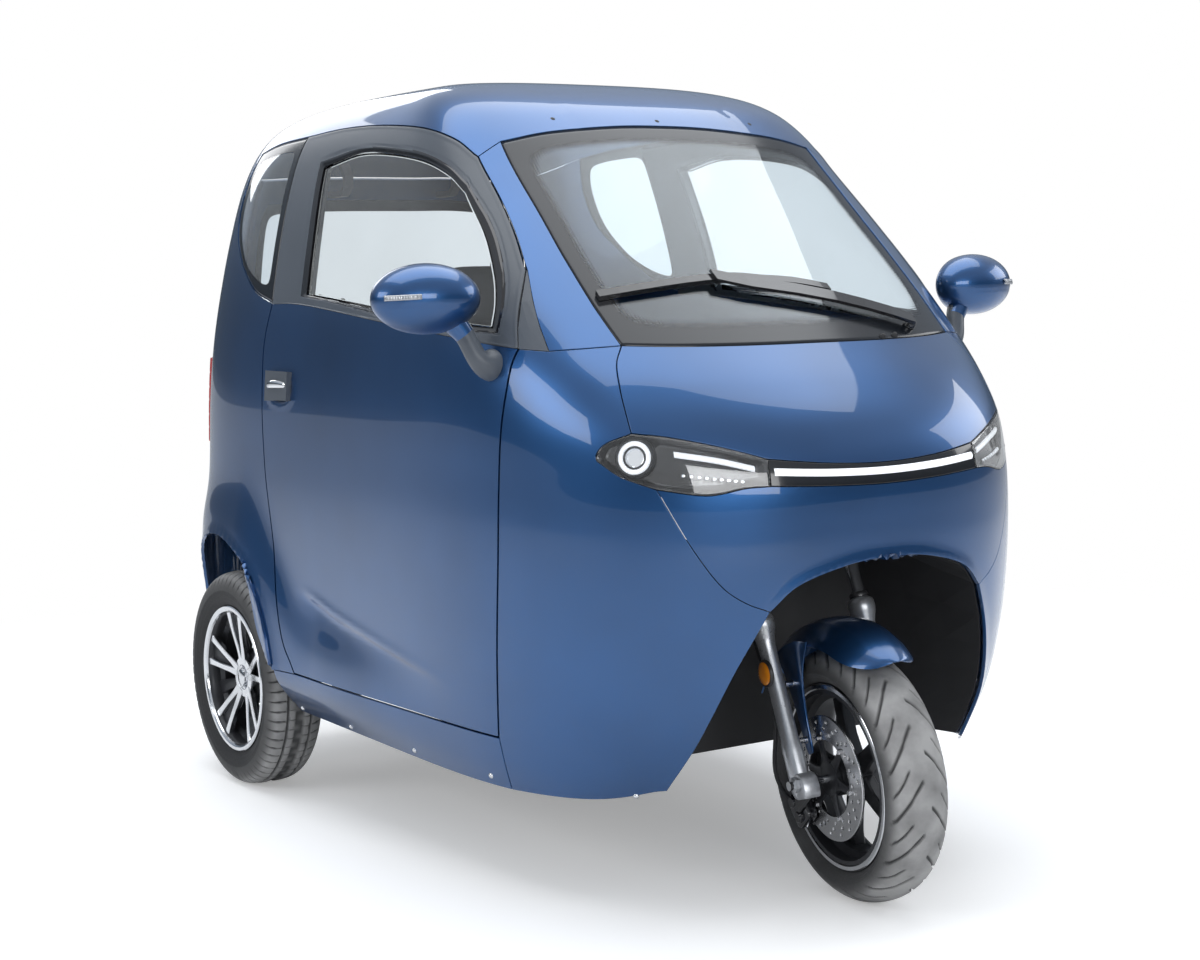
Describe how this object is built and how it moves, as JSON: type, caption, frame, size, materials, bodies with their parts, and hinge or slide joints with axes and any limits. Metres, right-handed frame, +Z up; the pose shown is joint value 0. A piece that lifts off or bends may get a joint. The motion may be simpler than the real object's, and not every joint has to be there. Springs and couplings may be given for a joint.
{
  "type": "enclosed electric tricycle",
  "caption": "Closed cabin electric tricycle with a steered front wheel, two driven rear wheels, side doors, a tailgate and seats for a driver and passengers.",
  "frame": {"origin": "on the floor under the middle of the bounding box", "axes": "+Z up, the nose points to -Y, the vehicle's right-hand side is -X, +Y runs to the tail"},
  "size_m": [1.562, 2.201, 1.6096],
  "materials": {
    "body_paint": "gloss metallic",
    "window_glass": "tinted",
    "lamp_lens": "clear",
    "lamp_red": "clear red",
    "tyre": "matt",
    "alloy": "polished",
    "dark_alloy": "satin black",
    "steel": "turned",
    "upholstery": "grained",
    "chassis_paint": "satin black",
    "black_plastic": "satin"
  },
  "bodies": {
    "body": {"chassis_frame": "chassis_paint", "rear_frame": "chassis_paint", "front_hoop": "chassis_paint", "floor_pan": "black_plastic", "wheel_liner": "black_plastic", "battery_pack": "black_plastic", "nose_panel": "body_paint", "hood_panel": "body_paint", "cowl_panels": "body_paint", "sill_panels": "body_paint", "pillar_panels": "body_paint", "sail_trims": "black_plastic", "roof_shell": "body_paint", "quarter_panels": "body_paint", "quarter_glass": "window_glass", "windshield": "window_glass", "wiper": "black_plastic", "headlamps": "lamp_lens", "light_bar": "lamp_lens", "rear_panel": "body_paint", "tail_lamps": "lamp_red", "dashboard": "black_plastic", "driver_seat": "upholstery", "rear_seat": "upholstery", "rear_axle": "chassis_paint", "leaf_springs": "chassis_paint", "hatch_brackets": "chassis_paint"},
    "steering": {"front_fork": "alloy", "front_fender": "body_paint", "brake_caliper": "chassis_paint", "handlebar": "black_plastic"},
    "front_wheel": {"front_tyre": "tyre", "front_rim": "dark_alloy", "brake_disc": "steel"},
    "rear_wheel_right": {"rear_tyre_right": "tyre", "rear_rim_right": "alloy"},
    "rear_wheel_left": {"rear_tyre_left": "tyre", "rear_rim_left": "alloy"},
    "door_right": {"door_skin_right": "body_paint", "door_frame_right": "black_plastic", "door_glass_right": "window_glass", "door_fittings_right": "black_plastic", "mirror_right": "body_paint"},
    "door_left": {"door_skin_left": "body_paint", "door_frame_left": "black_plastic", "door_glass_left": "window_glass", "door_fittings_left": "black_plastic", "mirror_left": "body_paint"},
    "tailgate": {"hatch_frame": "body_paint", "hatch_glass": "window_glass", "hatch_fittings": "black_plastic"}
  },
  "joints": [
    {"name": "steering_swivel", "type": "hinge", "parent": "body", "child": "steering", "pos_m": [0, -0.80823, 0.243], "axis": [0, 0.3746, 0.9272], "range_deg": [-26, 44]},
    {"name": "front_wheel_spin", "type": "hinge", "parent": "steering", "child": "front_wheel", "pos_m": [-0.00751, -0.85945, 0.24278], "axis": [0.9877, -0.145, 0.0586], "continuous": true},
    {"name": "rear_wheel_right_spin", "type": "hinge", "parent": "body", "child": "rear_wheel_right", "pos_m": [-0.545, 0.7, 0.252], "axis": [1, 0, 0], "continuous": true},
    {"name": "rear_wheel_left_spin", "type": "hinge", "parent": "body", "child": "rear_wheel_left", "pos_m": [0.545, 0.7, 0.252], "axis": [1, 0, 0], "continuous": true},
    {"name": "door_right_hinge", "type": "hinge", "parent": "body", "child": "door_right", "pos_m": [-0.5385, -0.556, 0.7], "axis": [0, 0, 1], "range_deg": [0, 60]},
    {"name": "door_left_hinge", "type": "hinge", "parent": "body", "child": "door_left", "pos_m": [0.5385, -0.556, 0.7], "axis": [0, 0, -1], "range_deg": [0, 60]},
    {"name": "tailgate_hinge", "type": "hinge", "parent": "body", "child": "tailgate", "pos_m": [0, 0.964, 1.496], "axis": [1, 0, 0], "range_deg": [0, 65]}
  ]
}
